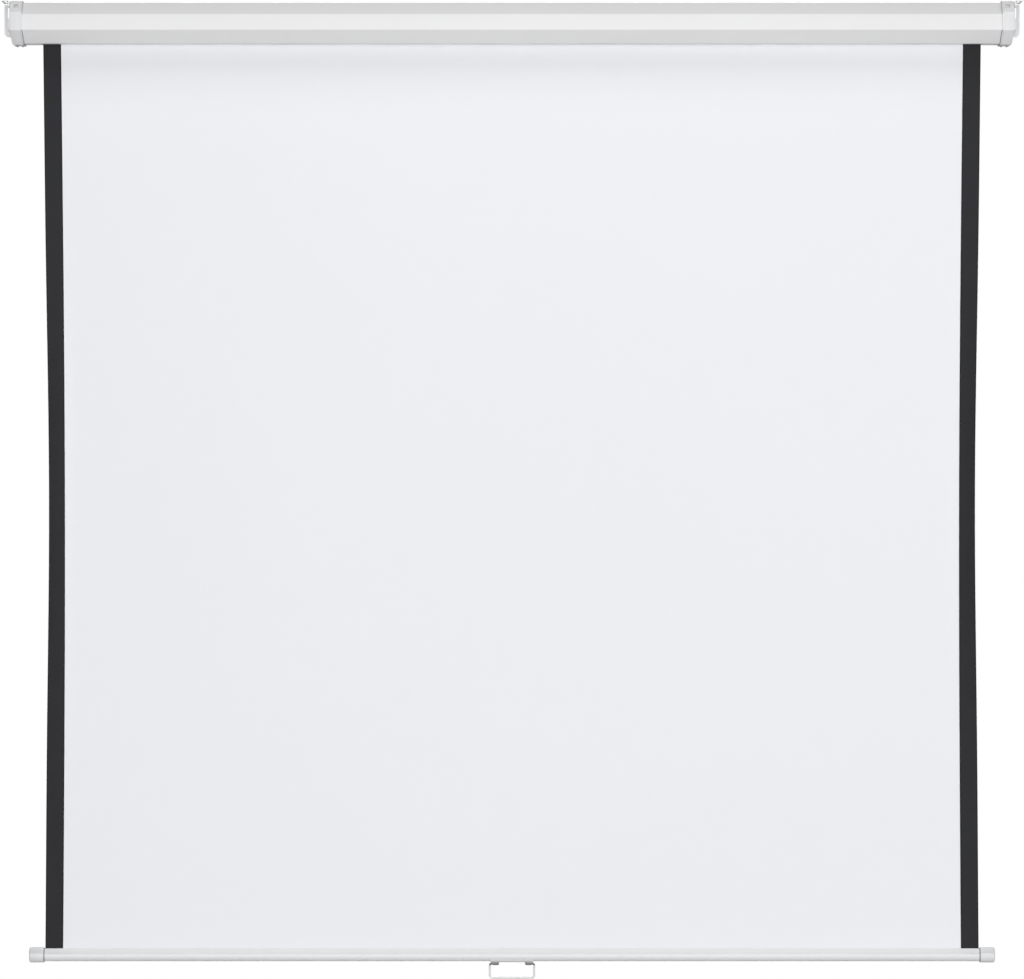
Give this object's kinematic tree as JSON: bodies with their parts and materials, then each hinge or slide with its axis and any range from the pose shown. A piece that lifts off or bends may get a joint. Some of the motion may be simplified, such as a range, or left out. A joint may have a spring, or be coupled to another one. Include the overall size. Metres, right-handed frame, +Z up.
{
  "type": "pull down projector screen",
  "caption": "Pull-down projection screen: chamfered casing with spring roller and pawl lock, white sheet with black edges, weighted bottom bar with wire pull handle.",
  "frame": {"origin": "centre of the casing's flat back, on the wall plane", "axes": "+X across the screen to the viewer's right, +Y into the wall, +Z up"},
  "size_m": [1.626, 0.0544, 1.5623],
  "materials": {
    "coated_steel": "satin white powder coat",
    "moulded_plastic": "satin white",
    "screen_fabric": "matte white",
    "edge_tape": "matte black",
    "zinc_steel": "zinc plated",
    "spring_steel": "oiled",
    "nylon": "natural"
  },
  "bodies": {
    "casing": {"casing": "coated_steel", "end_cap_left": "moulded_plastic", "end_cap_right": "moulded_plastic", "hanger_bracket_left": "coated_steel", "hanger_bracket_right": "coated_steel", "cap_screw_left_1": "zinc_steel", "cap_screw_left_2": "zinc_steel", "cap_screw_left_3": "zinc_steel", "cap_screw_right_1": "zinc_steel", "cap_screw_right_2": "zinc_steel", "cap_screw_right_3": "zinc_steel", "facet_screw_left": "zinc_steel", "facet_screw_right": "zinc_steel", "spring_shaft": "zinc_steel", "ratchet_wheel": "zinc_steel", "spring_seat": "nylon", "torsion_spring": "spring_steel", "idler_bush": "nylon", "projection_sheet": "screen_fabric", "border_left": "edge_tape", "border_right": "edge_tape"},
    "roller": {"roller_tube": "coated_steel", "fabric_on_roller": "screen_fabric", "pawl_carrier": "nylon", "pawl_pin_1": "zinc_steel", "pawl_pin_2": "zinc_steel", "drive_plug": "nylon", "idler_plug": "nylon", "idler_pin": "zinc_steel"},
    "pawl_1": {"pawl_1": "zinc_steel"},
    "pawl_2": {"pawl_2": "zinc_steel"},
    "bottom_bar": {"hem_rod": "zinc_steel", "weight_bar": "coated_steel", "bar_cap_left": "moulded_plastic", "bar_cap_right": "moulded_plastic", "handle_plate": "coated_steel", "handle_rivet_1": "zinc_steel", "handle_rivet_2": "zinc_steel"},
    "handle": {"handle_bail": "coated_steel"}
  },
  "joints": [
    {"name": "screen_lift", "type": "slide", "parent": "casing", "child": "bottom_bar", "axis": [0, 0, 1], "range_m": [0, 1.442], "deforming": ["projection_sheet", "border_left", "border_right"]},
    {"name": "roller_turn", "type": "hinge", "parent": "casing", "child": "roller", "pos_m": [0, -0.027, 0], "axis": [1, 0, 0], "range_deg": [0, 4325]},
    {"name": "handle_swing", "type": "hinge", "parent": "bottom_bar", "child": "handle", "pos_m": [0, -0.0105, -1.50235], "axis": [1, 0, 0], "range_deg": [-90, 90]},
    {"name": "pawl_1_swing", "type": "hinge", "parent": "roller", "child": "pawl_1", "pos_m": [0.7691, -0.01553, 0.00803], "axis": [1, 0, 0], "range_deg": [-18, 9]},
    {"name": "pawl_2_swing", "type": "hinge", "parent": "roller", "child": "pawl_2", "pos_m": [0.7691, -0.03847, -0.00803], "axis": [1, 0, 0], "range_deg": [-18, 9]}
  ],
  "couplings": [
    {"joint": "roller_turn", "follows": "screen_lift", "rad_per_m": 52.287}
  ]
}
